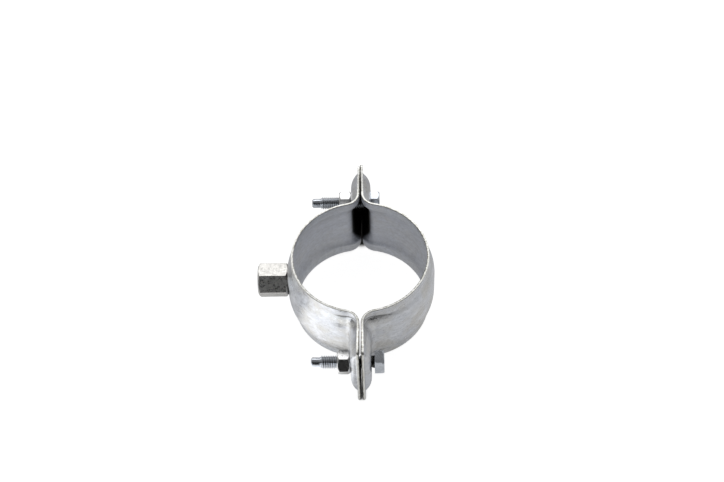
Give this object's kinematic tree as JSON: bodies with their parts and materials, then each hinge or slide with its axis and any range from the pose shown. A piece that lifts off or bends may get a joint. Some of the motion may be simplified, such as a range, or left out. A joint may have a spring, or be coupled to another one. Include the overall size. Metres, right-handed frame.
{
  "type": "clamp collar",
  "caption": "Two-piece pressed steel clamp collar for a round sign post, with beaded half rings, bolted ears and a threaded hexagon boss for a bracket.",
  "frame": {"origin": "on the post's axis, halfway up the band", "axes": "+Z along the post, +Y through the two bolts towards the back ears, -X towards the threaded boss"},
  "size_m": [0.0806, 0.1072, 0.0372],
  "materials": {
    "galvanised_strip": "cool grey galvanised sheet, faintly mottled, satin",
    "galvanised_hexagon": "galvanised hexagon steel, slightly rough",
    "zinc_plated_screw": "bright zinc plating",
    "zinc_plated_nut": "bright zinc plating"
  },
  "bodies": {
    "root": {"half_ring_boss": "galvanised_strip", "half_ring_plain": "galvanised_strip", "boss_nut": "galvanised_hexagon", "bolt_front": "zinc_plated_screw", "bolt_back": "zinc_plated_screw", "nut_front": "zinc_plated_nut", "nut_back": "zinc_plated_nut"}
  },
  "joints": []
}
